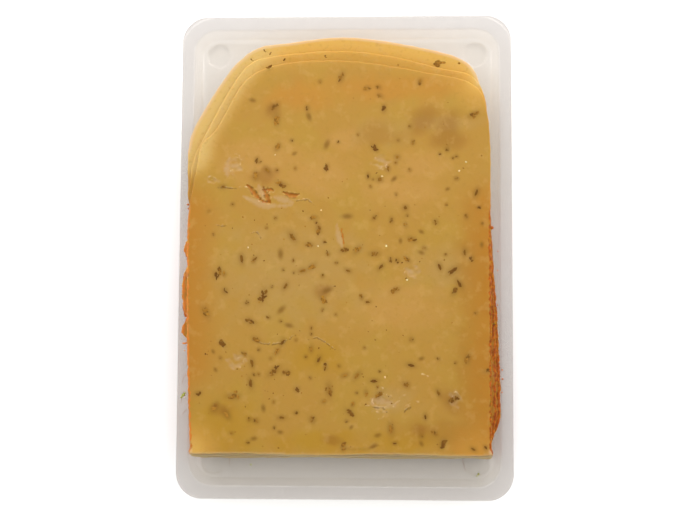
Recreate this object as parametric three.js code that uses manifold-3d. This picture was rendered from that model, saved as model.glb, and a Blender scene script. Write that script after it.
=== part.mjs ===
// Pack of sliced herb cheese: six slices fanned in an open, clear, thermoformed tray.
// Millimetres, +Z up. +X is the right of the pack and +Y its far end, where the slices fan out.
import * as THREE from "three";
import { mergeVertices } from "three/addons/utils/BufferGeometryUtils.js";
import Module from "manifold-3d";

const wasm = await Module();
wasm.setup();

// Tray: a flat flange round a shallow basin that stands on four round feet
const TRAY_WIDTH = 129;
const TRAY_LENGTH = 188;
const TRAY_CORNER = 10;
const SHEET = 0.5;
const OPENING_WIDTH = 119.2;
const OPENING_LENGTH = 177.6;
const OPENING_CORNER = 9;
const BASIN_DEPTH = 6;
const FOOT_HEIGHT = 0.8;
const FOOT_RADIUS = 5.2;
const FOOT_X = 51;
const FOOT_Y = 80.2;
const FLOOR_TOP = FOOT_HEIGHT + SHEET;
const FLANGE_TOP = FLOOR_TOP + BASIN_DEPTH;

// Stack: three slices in the basin and three that lie over the flange, a little to the left
const SLICE_THICKNESS = 1.9;
const SLICE_GAP = 0.06;
const SLICE_BEVEL = 0.35;
const SLICES_IN_BASIN = 3;
const SLICES = 6;
const NEAR_LEFT_X = -58.4;
const RIGHT_X = 56;
const NEAR_WAVE = 0.25;

// Far edge of each upper slice, from its left shoulder over the crown to its far right corner
const FAR_EDGE = {
  4: [[-60.9, 44], [-54.6, 57.8], [-46.2, 70.9], [-41.5, 76.3], [-34.5, 81.1], [-22, 83.1],
    [-1, 85.2], [23, 82.2], [45.7, 75.9], [50.4, 71], [53.4, 60], [55.2, 40]],
  5: [[-59.4, 35], [-55, 45.5], [-41.3, 70.2], [-36, 75.2], [-28, 77.3], [-1, 79.2],
    [18, 77], [35, 72.6], [48.5, 69.3], [53, 63.6], [55.4, 48]],
  6: [[-57.3, 34], [-55.6, 42.4], [-50.6, 47.4], [-41.9, 63], [-37.8, 68.4], [-27, 73.4],
    [-3, 75.1], [12, 73.6], [29, 70.6], [47.5, 66.3], [52.6, 62], [55.2, 52]],
};

// How far each slice stands in from the one that it copies, and where its near edge lies
const SLICE_RULES = {
  1: { copies: 4, inset: 5.9, near: -78.2, steps: 4.6 },
  2: { copies: 4, inset: 4.4, near: -78.1, steps: 4.6 },
  3: { copies: 4, inset: 3.5, near: -78.3, steps: 4.6 },
  4: { copies: 4, inset: 0, near: -78.0, steps: 2.9, rindStep: 3.5, crag: 0.4 },
  5: { copies: 5, inset: 0, near: -77.5, steps: 2.9, rindStep: 2.0, crag: 0.4 },
  6: { copies: 6, inset: 0, near: -76.9, steps: 2.5, rindStep: 0, crag: 0.22 },
};

// Rind that stands out of the left edge of slice 5, over the flange: middle, half length and reach
const RIND_FLAKES = [
  { y: -15.5, half: 9.5, reach: 2.1 },
  { y: -30, half: 3.6, reach: 2.3 },
  { y: 1.5, half: 3.2, reach: 1.7 },
  { y: 24, half: 3, reach: 0.9 },
];
const FLAKED_SLICE = 5;

// The rind covers the long sides from the near end up to here
const RIND_END_Y = 30;
const EDGE_SEED = 700;
const NEAR_EDGE_STEP = 7;

// Herbs on the top slice: the largest ones by place, length and turn, the rest by a seeded draw
const LARGE_HERBS = [
  [-42, -55, 4.7, 3], [-49, -59, 3.5, 60], [-44.5, -62, 3.9, 125], [-35, -42.5, 3.5, 100],
  [-35.5, -50, 3.9, 100], [-26.5, -45.5, 4.7, 40], [-5.5, -52.5, 4.7, 95], [-23.5, -34.5, 3.1, 60],
  [-33.5, -33.5, 3.1, 150], [-30.5, -59.5, 3.5, 100], [-26, 41, 3.1, 60], [-34.5, 30, 3.1, 85],
  [-30, 32, 3.1, 130], [-24.5, 26.5, 3.5, 165], [-20, 6, 4.3, 125], [-39.5, -2.5, 3.9, 100],
  [-24.5, -0.5, 4.7, 92], [-16, -7, 3.1, 10], [-12.5, -5.5, 3.1, 35], [-6.5, -14.5, 5.4, 25],
  [-8, -18, 3.1, 125], [-22.5, -13, 3.1, 60], [-31, -16.5, 4.7, 70], [-53, -23, 4.3, 115],
  [-36, -26.5, 3.9, 165], [-24, -22, 4.7, 45], [-21, -28, 3.9, 165], [-1.5, 68.5, 3.9, 75],
  [11.5, 40.5, 3.1, 130], [49.5, 53.5, 3.9, 25], [19, 28.5, 3.1, 40], [50.5, 23, 3.5, 70],
  [26, 5, 3.1, 155], [5, 1, 3.5, 50], [11.5, -0.5, 3.5, 0], [14, -5.5, 3.1, 50],
  [36.5, -5.5, 3.1, 115], [41.5, -7, 4.7, 35], [44, -12, 3.9, 120], [42, -15, 3.1, 60],
  [19.5, -14.5, 3.1, 25], [46, 0, 3.1, 90], [1, 14, 4.7, 0], [47, -40.5, 3.5, 70],
  [5, -47, 3.5, 50], [11.5, -49, 3.1, 0], [13.5, -54, 3.1, 50], [36, -53.5, 3.1, 115],
  [2.5, -61, 3.5, 140], [18, -67, 4.3, 95], [25.5, -43, 3.1, 170], [37.5, -72.5, 3.5, 70],
];
const LARGE_HERB_SLIMNESS = 0.36;
const SMALL_HERBS = 92;
const HERB_SEED = 20261;
const HERB_RISE = 0.14;
const HERB_MARGIN = 3.2;
const HERB_PATCHES = [
  { x: -30, y: 0, spread: 26, weight: 1 },
  { x: -32, y: -50, spread: 24, weight: 1 },
  { x: 30, y: 2, spread: 22, weight: 0.9 },
  { x: 18, y: 40, spread: 26, weight: 0.7 },
  { x: 12, y: -52, spread: 24, weight: 0.7 },
];

// Herbs on what shows of the two slices under the top one: place, length and turn
const FAN_HERBS = {
  4: [[-36.7, 76.3, 1.5, 150], [-31.6, 79.9, 1.6, 140], [-29.4, 79, 1.5, 30], [36.5, 75.1, 4.4, 172],
    [44.4, 74.5, 1.4, 0], [47.9, 71.4, 1.2, 60]],
  5: [[-23.9, 76, 1.7, 60], [-7.6, 77, 1.7, 170], [20.1, 73.6, 1.4, 10]],
};

// Shallow eyes of the cheese in the top face: place, half length, half width and turn
const EYES = [
  [-42.9, 33.8, 3.6, 3.1, 20], [-51.3, 28.2, 2.7, 1.3, 165], [14, 35.1, 3.3, 2.5, 10],
  [13.9, -59.6, 4.6, 3.3, 5], [42.1, -55.3, 2.4, 3.3, 0], [-41.1, -42, 3.6, 2.8, 30], [26, -7.5, 3, 2.3, 15],
];
const EYE_DEPTH = 0.3;

// The tear across the left half of the top face, and the thin cracks, in the same way
const TEARS = [
  [-43.3, 25.5, 5.6, 0.4, 178], [-34.4, 23, 2.9, 0.6, 125], [-30.2, 22.4, 2.4, 0.7, 108],
  [-31.4, 20.1, 2.9, 0.5, 166], [-20.3, 22, 2.1, 0.7, 175], [-29.2, -34.8, 5.4, 0.3, 176],
  [-7.4, -34.6, 4.8, 0.3, 155], [-0.8, 6.2, 4, 0.4, 98],
];
const TEAR_DEPTH = 0.7;

// A lump of rind that sticks out of the right edge of slice 5: place, half sizes
const RIND_LUMP = { x: 57, y: 9.9, halfLength: 1.9, halfWidth: 0.9, halfHeight: 0.7 };

function makeRandom(seed) {
  let state = seed;
  return () => {
    state = (state * 1664525 + 1013904223) % 4294967296;
    return state / 4294967296;
  };
}

// Solids and geometry

function solidOf(geometry) {
  geometry.deleteAttribute("normal");
  geometry.deleteAttribute("uv");
  const merged = mergeVertices(geometry);
  return new wasm.Manifold(new wasm.Mesh({
    numProp: 3,
    vertProperties: new Float32Array(merged.attributes.position.array),
    triVerts: new Uint32Array(merged.index.array),
  }));
}

function geometryOf(solid) {
  const mesh = solid.getMesh();
  const geometry = new THREE.BufferGeometry();
  geometry.setAttribute("position", new THREE.BufferAttribute(new Float32Array(mesh.vertProperties), 3));
  geometry.setIndex(new THREE.BufferAttribute(new Uint32Array(mesh.triVerts), 1));
  geometry.computeVertexNormals();
  return geometry;
}

// A closed skin over rings of equal length, each anticlockwise from above and higher than the last
function loft(rings) {
  const count = rings[0].length;
  const positions = rings.flat().flatMap((point) => [point.x, point.y, point.z]);
  const index = [];
  for (let ring = 0; ring + 1 < rings.length; ring += 1) {
    for (let i = 0; i < count; i += 1) {
      const a = ring * count + i;
      const b = ring * count + (i + 1) % count;
      index.push(a, b, b + count, a, b + count, a + count);
    }
  }
  const last = (rings.length - 1) * count;
  const flat = (ring) => ring.map((point) => new THREE.Vector2(point.x, point.y));
  for (const [a, b, c] of THREE.ShapeUtils.triangulateShape(flat(rings[0]), [])) {
    index.push(a, c, b);
  }
  for (const [a, b, c] of THREE.ShapeUtils.triangulateShape(flat(rings.at(-1)), [])) {
    index.push(last + a, last + b, last + c);
  }
  const geometry = new THREE.BufferGeometry();
  geometry.setAttribute("position", new THREE.Float32BufferAttribute(positions, 3));
  geometry.setIndex(index);
  return geometry;
}

// Tray

function roundedRing(width, length, radius, z) {
  const cornerSteps = 8;
  const ring = [];
  const centres = [[1, 1], [-1, 1], [-1, -1], [1, -1]];
  centres.forEach(([sideX, sideY], corner) => {
    for (let step = 0; step <= cornerSteps; step += 1) {
      const angle = (corner + step / cornerSteps) * Math.PI / 2;
      const x = sideX * (width / 2 - radius) + radius * Math.cos(angle);
      const y = sideY * (length / 2 - radius) + radius * Math.sin(angle);
      ring.push(new THREE.Vector3(x, y, z));
    }
  });
  return ring;
}

// The basin's section: how far each level stands out of the opening's edge, and its height
function basin(levels) {
  return solidOf(loft(levels.map(([out, z]) => roundedRing(
    OPENING_WIDTH + 2 * out,
    OPENING_LENGTH + 2 * out,
    OPENING_CORNER + out,
    z,
  ))));
}

function foot(profile, x, y) {
  const sides = 28;
  const points = profile.map(([radius, z]) => new THREE.Vector2(radius, z));
  const geometry = new THREE.LatheGeometry(points, sides);
  geometry.rotateX(Math.PI / 2);
  geometry.translate(x, y, 0);
  return solidOf(geometry);
}

function tray() {
  const flangeUnder = FLANGE_TOP - SHEET;
  const flange = solidOf(loft([
    roundedRing(TRAY_WIDTH, TRAY_LENGTH, TRAY_CORNER, flangeUnder),
    roundedRing(TRAY_WIDTH, TRAY_LENGTH, TRAY_CORNER, FLANGE_TOP),
  ]));
  const outside = basin([
    [-3.3, FOOT_HEIGHT],
    [-2.5, FOOT_HEIGHT + 0.2],
    [-2.0, FOOT_HEIGHT + 0.8],
    [0.05, flangeUnder - 0.2],
    [0.4, flangeUnder + 0.1],
  ]);
  const inside = basin([
    [-3.6, FLOOR_TOP],
    [-2.9, FLOOR_TOP + 0.18],
    [-2.5, FLOOR_TOP + 0.7],
    [-0.45, FLANGE_TOP - 0.45],
    [-0.15, FLANGE_TOP - 0.12],
    [0.3, FLANGE_TOP],
    [0.3, FLANGE_TOP + 1],
  ]);
  const footSkin = [
    [0, 0], [FOOT_RADIUS - 0.5, 0], [FOOT_RADIUS - 0.2, 0.15],
    [FOOT_RADIUS, FOOT_HEIGHT + 0.2], [0, FOOT_HEIGHT + 0.2],
  ];
  const footHollow = [
    [0, SHEET], [FOOT_RADIUS - 0.9, SHEET], [FOOT_RADIUS - 0.6, SHEET + 0.2],
    [FOOT_RADIUS - 0.4, FLOOR_TOP], [FOOT_RADIUS - 0.4, FLOOR_TOP + 0.3], [0, FLOOR_TOP + 0.3],
  ];
  let solid = flange.add(outside);
  for (const x of [-FOOT_X, FOOT_X]) {
    for (const y of [-FOOT_Y, FOOT_Y]) {
      solid = solid.add(foot(footSkin, x, y));
    }
  }
  solid = solid.subtract(inside);
  for (const x of [-FOOT_X, FOOT_X]) {
    for (const y of [-FOOT_Y, FOOT_Y]) {
      solid = solid.subtract(foot(footHollow, x, y));
    }
  }
  return solid;
}

// Slices

// The top of the part's box is the top slice's herbs, so heights count up from the tray's floor
function sliceBottom(number) {
  if (number <= SLICES_IN_BASIN) {
    return FLOOR_TOP + SLICE_GAP + (number - 1) * (SLICE_THICKNESS + SLICE_GAP);
  }
  return FLANGE_TOP + SLICE_GAP + (number - 1 - SLICES_IN_BASIN) * (SLICE_THICKNESS + SLICE_GAP);
}

// How far the rind of a lower slice shows beyond the top slice's right edge at this place
function rindStep(y, reach) {
  const grows = THREE.MathUtils.smoothstep(24 - y, 0, 78);
  const ends = THREE.MathUtils.smoothstep(y, -74, -62);
  return reach * grows * ends;
}

function flakeReach(y) {
  let reach = 0;
  for (const flake of RIND_FLAKES) {
    const along = Math.abs(y - flake.y) / flake.half;
    if (along < 1) {
      reach = Math.max(reach, flake.reach * Math.sqrt(1 - along * along));
    }
  }
  return reach;
}

// Places round a slice, anticlockwise from its near right corner, each with its outward direction
function outline(number) {
  const rules = SLICE_RULES[number];
  const far = FAR_EDGE[rules.copies];
  const inset = rules.inset;
  const right = RIGHT_X - Math.max(0, inset - 4);
  const corners = {
    nearRight: [right, rules.near + 0.3],
    nearLeft: [NEAR_LEFT_X + inset * 0.8, rules.near + 0.2],
  };
  const sides = [
    corners.nearRight,
    [right + 0.1, -40],
    [right, 5],
    ...far.map(([x, y]) => [x < 0 ? x + inset : x - 0.2 * inset, y - 0.5 * inset]).reverse(),
    [-60.6 + inset, 12],
    [-60.7 + inset, -6],
    [-60 + inset * 0.9, -40],
    corners.nearLeft,
  ].map(([x, y]) => new THREE.Vector3(x, y, 0));
  const curve = new THREE.CatmullRomCurve3(sides, false, "centripetal");
  const places = curve.getSpacedPoints(Math.round(curve.getLength() / rules.steps));
  const nearSteps = Math.round((right - NEAR_LEFT_X) / NEAR_EDGE_STEP);
  for (let step = 1; step < nearSteps; step += 1) {
    const x = THREE.MathUtils.lerp(corners.nearLeft[0], corners.nearRight[0], step / nearSteps);
    places.push(new THREE.Vector3(x, rules.near + NEAR_WAVE * Math.sin(x / 9 + number), 0));
  }
  return places.map((place, i) => {
    const before = places.at(i - 1);
    const after = places[(i + 1) % places.length];
    const along = after.clone().sub(before).normalize();
    return { place, out: new THREE.Vector3(along.y, -along.x, 0) };
  });
}

function slice(number) {
  const rules = SLICE_RULES[number];
  const bottom = sliceBottom(number);
  const random = makeRandom(EDGE_SEED + number);
  const edge = outline(number);
  const levels = [
    [SLICE_BEVEL, 0],
    [0, SLICE_BEVEL],
    [0, SLICE_THICKNESS - SLICE_BEVEL],
    [SLICE_BEVEL, SLICE_THICKNESS],
  ];
  let solid = solidOf(loft(levels.map(([inset, height]) => edge.map(({ place, out }) => {
    let reach = -inset;
    const onRind = place.y < RIND_END_Y && Math.abs(out.x) > 0.8;
    if (onRind && rules.crag) {
      reach += rules.crag * (random() - 0.7);
    }
    if (onRind && rules.rindStep && out.x > 0) {
      reach += rindStep(place.y, rules.rindStep);
    }
    if (onRind && number === FLAKED_SLICE && out.x < 0) {
      reach += flakeReach(place.y);
    }
    return new THREE.Vector3(place.x + out.x * reach, place.y + out.y * reach, bottom + height);
  }))));
  if (number === FLAKED_SLICE) {
    const { x, y, halfLength, halfWidth, halfHeight } = RIND_LUMP;
    solid = solid.add(lens(x, y, bottom + SLICE_THICKNESS / 2, halfLength, halfWidth, halfHeight, 0, 8));
  }
  return withHerbs(solid, number, (FAN_HERBS[number] ?? []).map(largeHerb));
}

function largeHerb([x, y, length, turn]) {
  return { x, y, length, width: length * LARGE_HERB_SLIMNESS, turn };
}

function withHerbs(slab, number, herbs) {
  const top = sliceBottom(number) + SLICE_THICKNESS;
  let solid = slab;
  for (const { x, y, length, width, turn } of herbs) {
    solid = solid.add(lens(x, y, top, length / 2, width / 2, HERB_RISE, turn, 5));
  }
  return solid;
}

// A flat seed or hollow: half length, half width, height above or below its middle and turn
function lens(x, y, z, halfLength, halfWidth, height, degrees, sides) {
  const geometry = new THREE.SphereGeometry(1, sides, 4);
  geometry.rotateX(Math.PI / 2);
  geometry.scale(halfLength, halfWidth, height);
  geometry.rotateZ(THREE.MathUtils.degToRad(degrees));
  geometry.translate(x, y, z);
  return solidOf(geometry);
}

function insideTopSlice(x, y) {
  const edge = outline(SLICES).map(({ place, out }) => place.clone().addScaledVector(out, -HERB_MARGIN));
  let inside = false;
  edge.forEach((a, i) => {
    const b = edge[(i + 1) % edge.length];
    if ((a.y > y) !== (b.y > y) && x < a.x + (y - a.y) * (b.x - a.x) / (b.y - a.y)) {
      inside = !inside;
    }
  });
  return inside;
}

// Herbs lie thickest in a few loose patches
function topHerbs() {
  const random = makeRandom(HERB_SEED);
  const list = LARGE_HERBS.map(largeHerb);
  while (list.length < LARGE_HERBS.length + SMALL_HERBS) {
    const x = THREE.MathUtils.lerp(-58, 56, random());
    const y = THREE.MathUtils.lerp(-76, 74, random());
    const chance = random();
    const length = 0.9 + 1.9 * random() * random();
    const width = length * (0.35 + 0.4 * random());
    const turn = 180 * random();
    let thickness = 0.12;
    for (const patch of HERB_PATCHES) {
      const distance = Math.hypot(x - patch.x, y - patch.y) / patch.spread;
      thickness += patch.weight * Math.exp(-distance * distance);
    }
    const clear = list.every((herb) => Math.hypot(herb.x - x, herb.y - y) > 0.6 * (herb.length + length));
    if (chance < thickness && clear && insideTopSlice(x, y)) {
      list.push({ x, y, length, width, turn });
    }
  }
  return list;
}

function topSlice() {
  const top = sliceBottom(SLICES) + SLICE_THICKNESS;
  let solid = slice(SLICES);
  for (const [x, y, halfLength, halfWidth, turn] of EYES) {
    solid = solid.subtract(lens(x, y, top, halfLength, halfWidth, EYE_DEPTH, turn, 10));
  }
  for (const [x, y, halfLength, halfWidth, turn] of TEARS) {
    solid = solid.subtract(lens(x, y, top, halfLength, halfWidth, TEAR_DEPTH, turn, 6));
  }
  return withHerbs(solid, SLICES, topHerbs());
}

// Materials and assembly

const clearPlastic = new THREE.MeshStandardMaterial({
  color: 0xe9e4df,
  roughness: 0.12,
  metalness: 0,
  transparent: true,
  opacity: 0.35,
});
const cheese = new THREE.MeshStandardMaterial({ color: 0xc4954a, roughness: 0.45, metalness: 0 });

function named(name, solid, material) {
  const mesh = new THREE.Mesh(geometryOf(solid), material);
  mesh.name = name;
  return mesh;
}

const pack = new THREE.Group();
pack.add(named("tray", tray(), clearPlastic));
for (let number = 1; number < SLICES; number += 1) {
  pack.add(named(`slice_${number}`, slice(number), cheese));
}
pack.add(named(`slice_${SLICES}`, topSlice(), cheese));

export default pack;
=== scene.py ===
"""Looks of a pack of sliced herb cheese: an open clear tray with six fanned slices."""
import math

import bpy
import numpy as np
from mathutils import Euler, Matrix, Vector, geometry


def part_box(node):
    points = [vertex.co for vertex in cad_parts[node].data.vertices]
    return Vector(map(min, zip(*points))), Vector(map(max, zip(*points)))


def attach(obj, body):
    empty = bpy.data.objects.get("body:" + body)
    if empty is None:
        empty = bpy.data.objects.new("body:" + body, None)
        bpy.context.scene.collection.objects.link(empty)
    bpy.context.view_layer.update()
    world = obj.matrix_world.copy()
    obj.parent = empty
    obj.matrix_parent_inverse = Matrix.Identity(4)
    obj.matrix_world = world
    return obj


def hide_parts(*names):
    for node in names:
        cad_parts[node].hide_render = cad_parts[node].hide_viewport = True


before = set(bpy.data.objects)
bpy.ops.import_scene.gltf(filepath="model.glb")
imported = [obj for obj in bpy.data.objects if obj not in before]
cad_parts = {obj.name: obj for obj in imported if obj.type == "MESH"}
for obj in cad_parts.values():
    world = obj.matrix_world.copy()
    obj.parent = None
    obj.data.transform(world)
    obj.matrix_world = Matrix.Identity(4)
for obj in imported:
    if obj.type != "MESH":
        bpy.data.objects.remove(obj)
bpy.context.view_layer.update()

# Camera, light and floor
# The pack lies on a white table and is seen from just short of straight above, a little to the right.
# The white room gives most of the light. Broad soft lights behind the far end and on both sides leave the
# near strip of the tray in the stack's soft shadow.
MM = 0.001
# The camera's place in millimetres, its turn in degrees and its focal length on a 36 mm sensor
CAMERA_PLACE = (27.8, -61.0, 584.0)
CAMERA_TURN = (5.9, 2.73, 0.3)
FOCAL_LENGTH = 78.26
# Place and size in metres, and power in watts, of each soft light, which is aimed at the pack's middle
SOFTBOXES = {
    "far_softbox": ((0.0, 0.5, 0.42), (0.9, 0.3), 3.1),
    "right_softbox": ((0.65, 0.3, 0.5), (0.6, 0.5), 2.2),
    "left_softbox": ((-0.65, 0.3, 0.5), (0.6, 0.5), 1.9),
}
ROOM_STRENGTH = 0.7
FLOOR_REACH = 1500
FLOOR_DROP = 0.05

scene = bpy.context.scene
scene.view_settings.view_transform = "Standard"


def linear(code):
    """Linear colour, with an alpha of 1, of an sRGB hex value."""
    channels = [int(code[i:i + 2], 16) / 255 for i in (1, 3, 5)]
    return [c / 12.92 if c <= 0.04045 else ((c + 0.055) / 1.055) ** 2.4 for c in channels] + [1.0]


def add(tree, kind, inputs=None, **settings):
    """Adds a node. Settings are its properties; inputs give a socket a value or another node's output."""
    node = tree.nodes.new(kind)
    for name, value in settings.items():
        setattr(node, name, value)
    for socket, value in (inputs or {}).items():
        if isinstance(value, bpy.types.NodeSocket):
            tree.links.new(value, node.inputs[socket])
        else:
            node.inputs[socket].default_value = value
    return node


def new_material(name):
    material = bpy.data.materials.new(name)
    material.use_nodes = True
    material.node_tree.nodes.clear()
    return material, material.node_tree


def mesh_object(name, points, faces, material, smooth=True):
    """An object from points in millimetres."""
    mesh = bpy.data.meshes.new(name)
    mesh.from_pydata([tuple(v * MM for v in p) for p in points], [], faces)
    mesh.validate()
    if smooth:
        mesh.shade_smooth()
    else:
        mesh.shade_flat()
    mesh.materials.append(material)
    made = bpy.data.objects.new(name, mesh)
    scene.collection.objects.link(made)
    return made


camera = bpy.data.objects.new("camera", bpy.data.cameras.new("camera"))
camera.location = [v * MM for v in CAMERA_PLACE]
camera.rotation_euler = Euler([math.radians(v) for v in CAMERA_TURN])
camera.data.lens = FOCAL_LENGTH
camera.data.sensor_width = 36.0
camera.data.clip_start = 0.01
scene.collection.objects.link(camera)
scene.camera = camera

for name, (place, size, power) in SOFTBOXES.items():
    softbox = bpy.data.lights.new(name, "AREA")
    softbox.shape = "RECTANGLE"
    softbox.size, softbox.size_y = size
    softbox.energy = power
    lamp = bpy.data.objects.new(name, softbox)
    lamp.location = place
    lamp.rotation_euler = (-Vector(place)).to_track_quat("-Z", "Y").to_euler()
    scene.collection.objects.link(lamp)

room = bpy.data.worlds.new("white_room")
room.use_nodes = True
room.node_tree.nodes["Background"].inputs["Color"].default_value = (1.0, 1.0, 1.0, 1.0)
room.node_tree.nodes["Background"].inputs["Strength"].default_value = ROOM_STRENGTH
scene.world = room

# White laminate: matt, and bright enough to leave no edge round the pack
table_top, tree = new_material("white_laminate")
white = add(tree, "ShaderNodeBsdfPrincipled", {"Base Color": linear("#ffffff"), "Roughness": 0.8})
add(tree, "ShaderNodeOutputMaterial", {"Surface": white.outputs[0]})
corners = [(x * FLOOR_REACH, y * FLOOR_REACH, -FLOOR_DROP) for x, y in ((-1, -1), (1, -1), (1, 1), (-1, 1))]
floor = mesh_object("floor", corners, [(0, 1, 2, 3)], table_top)

# Tray
# A shallow tray of clear polyester sheet, thermoformed over a mould: flat flange, sloping walls, and a
# floor that stands on four round feet pressed down into it. The bends are rounded by the sheet's thickness.
TRAY = dict(width=129.0, length=188.0, corner=10.0)
OPENING = dict(width=119.2, length=177.6, corner=9.0)
SHEET = 0.45
FOOT_PLACES = [(x, y) for x in (-50.8, 50.8) for y in (-80.0, 80.0)]
# Round the opening: how far each line of the sheet's middle stands out of the opening, and its height
WALL_LINES = [
    (4.75, 7.05), (3.2, 7.05), (1.4, 7.05), (0.9, 7.04), (0.55, 6.98), (0.3, 6.85), (0.12, 6.65),
    (-0.05, 6.25), (-0.5, 5.1), (-1.0, 3.9), (-1.5, 2.8), (-1.95, 1.95), (-2.15, 1.6), (-2.45, 1.3),
    (-2.85, 1.12), (-3.4, 1.05),
]
# A foot from its rim to its flat base: radius and height of the sheet's middle
FOOT_LINES = [(5.2, 1.05), (5.05, 1.0), (4.9, 0.85), (4.75, 0.5), (4.6, 0.32), (4.3, 0.24), (3.9, 0.235)]
# Radii of further rings of points round each foot, which keep the floor's mesh even there
EASE_RADII = (5.6, 6.4, 7.8)
FOOT_CLEARANCE = 4
CORNER_STEPS = 20
SIDE_STEPS = (10, 16)
FOOT_STEPS = 40
FLOOR_STEP = 7.0
FLOOR_MARGIN = 2
# From this height up the sheet's see-through grey darkens to the flange's, as painted shade
FLANGE_SHADE_HEIGHT = 6.0
CREASE_ANGLE = 40
# The slow waves in the sheet: their size and depth, and how much they turn the reflections
WAVE_SIZE = 14
WAVE_DEPTH = 0.5
WAVE_STRENGTH = 0.12
MILKY_SHARE = 0.08
# Share of light that mirrors off the sheet seen straight on and along it
MIRROR_SHARES = (0.045, 0.5)


def rounded_ring(width, length, radius):
    """Points of a rounded rectangle, anticlockwise, always with the same number on each side and corner."""
    corners = []
    for corner, (side_x, side_y) in enumerate(((1, 1), (-1, 1), (-1, -1), (1, -1))):
        turns = [(corner + step / CORNER_STEPS) * math.pi / 2 for step in range(CORNER_STEPS + 1)]
        corners.append([(side_x * (width / 2 - radius) + radius * math.cos(turn),
                         side_y * (length / 2 - radius) + radius * math.sin(turn)) for turn in turns])
    ring = []
    for corner in range(4):
        ring += corners[corner]
        a, b = corners[corner][-1], corners[(corner + 1) % 4][0]
        steps = SIDE_STEPS[corner % 2]
        for i in range(1, steps):
            ring.append((a[0] + (b[0] - a[0]) * i / steps, a[1] + (b[1] - a[1]) * i / steps))
    return ring


def fill_outline(loop, extra_loops=(), extra_points=()):
    """Triangles over a closed outline that keep its points, and those of further loops, as they are."""
    points = [Vector(p) for p in loop]
    edges = [(i, (i + 1) % len(loop)) for i in range(len(loop))]
    for extra in extra_loops:
        first = len(points)
        points += [Vector(p) for p in extra]
        edges += [(first + i, first + (i + 1) % len(extra)) for i in range(len(extra))]
    points += [Vector(p) for p in extra_points]
    found = geometry.delaunay_2d_cdt(points, edges, [], 1, 1e-7)
    return [tuple(p) for p in found[0]], [tuple(f) for f in found[2]]


def foot_height(x, y):
    """Height of the sheet's middle over the floor and its feet."""
    reach = min(math.hypot(x - fx, y - fy) for fx, fy in FOOT_PLACES)
    radii = [r for r, _ in FOOT_LINES][::-1]
    heights = [h for _, h in FOOT_LINES][::-1]
    return float(np.interp(reach, radii, heights))


def ring_faces(rings, count):
    """Faces between rings of points that follow each other, each with the same count of points."""
    faces = []
    for level in range(rings - 1):
        for i in range(count):
            a = level * count + i
            b = level * count + (i + 1) % count
            faces.append((a, b, b + count, a + count))
    return faces


def tray_sheet():
    """Points and faces of the sheet's middle: flange and walls ring by ring, then the floor and feet."""
    rings = [(rounded_ring(TRAY["width"], TRAY["length"], TRAY["corner"]), WALL_LINES[0][1])]
    for out, z in WALL_LINES:
        ring = rounded_ring(OPENING["width"] + 2 * out, OPENING["length"] + 2 * out, OPENING["corner"] + out)
        rings.append((ring, z))
    count = len(rings[0][0])
    points = [(x, y, z) for ring, z in rings for x, y in ring]
    faces = ring_faces(len(rings), count)
    turns = [2 * math.pi * i / FOOT_STEPS for i in range(FOOT_STEPS)]
    circles = [[(fx + r * math.cos(t), fy + r * math.sin(t)) for t in turns]
               for fx, fy in FOOT_PLACES for r, _ in FOOT_LINES]
    inner = rings[-1][0]
    half_x, half_y = inner[0][0] - FLOOR_STEP / 2, inner[CORNER_STEPS][1] - FLOOR_STEP / 2
    grid = [(x, y) for x in np.arange(-half_x, half_x + 1, 2 * half_x / round(2 * half_x / FLOOR_STEP))
            for y in np.arange(-half_y, half_y + 1, 2 * half_y / round(2 * half_y / FLOOR_STEP))
            if min(math.dist((x, y), foot) for foot in FOOT_PLACES) > FOOT_LINES[0][0] + FOOT_CLEARANCE]
    for foot_x, foot_y in FOOT_PLACES:
        for reach in EASE_RADII:
            ring = [(foot_x + reach * math.cos(t), foot_y + reach * math.sin(t)) for t in turns]
            grid += [(x, y) for x, y in ring
                     if abs(x) < half_x + FLOOR_MARGIN and abs(y) < half_y + FLOOR_MARGIN]
    flat, triangles = fill_outline(inner, circles, grid)
    first = len(points) - count
    numbers = [first + i if i < count else len(points) + i - count for i in range(len(flat))]
    points += [(x, y, foot_height(x, y)) for x, y in flat[count:]]
    faces += [tuple(numbers[i] for i in face) for face in triangles]
    return points, faces


def layered_colour(tree, base, layers):
    """A base colour with others laid over it, each as its mask goes from a low to a high value."""
    colour = linear(base)
    for mask, low, high, strength, over in layers:
        share = add(tree, "ShaderNodeMapRange", {"Value": mask, "From Min": low, "From Max": high,
                                                 "To Max": strength}, interpolation_type="SMOOTHSTEP")
        colour = add(tree, "ShaderNodeMix", {"Factor": share.outputs["Result"], 6: colour, 7: linear(over)},
                     data_type="RGBA").outputs[2]
    return colour


# Clear polyester (PET): see-through with a faint warm grey, glossy reflections that grow along the sheet, a
# trace of milky scatter, and the slow waves that a thermoformed sheet keeps. The sheet is so thin that it
# doesn't bend what is seen through it. The flange's grey is painted a little darker than the basin's, as
# painted shade.
clear_pet, tree = new_material("clear_pet_sheet")
where = add(tree, "ShaderNodeTexCoord").outputs["Object"]
waves = add(tree, "ShaderNodeTexNoise", {
    "Vector": where, "Scale": 1 / (WAVE_SIZE * MM), "Detail": 2.0, "Roughness": 0.55}).outputs["Fac"]
wavy = add(tree, "ShaderNodeBump", {
    "Height": waves, "Strength": WAVE_STRENGTH, "Distance": WAVE_DEPTH * MM}).outputs[0]
haze = add(tree, "ShaderNodeMapRange", {"Value": waves, "To Min": 0.08, "To Max": 0.18}).outputs["Result"]
flange_painted_shade = add(tree, "ShaderNodeAttribute", attribute_name="flange_painted_shade").outputs["Fac"]
# Painted shade: the flange's see-through grey is darker than the basin's
grey = layered_colour(tree, "#ece9e6", [(flange_painted_shade, 0.0, 1.0, 1.0, "#e4e1df")])
through = add(tree, "ShaderNodeBsdfTransparent", {"Color": grey})
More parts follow.
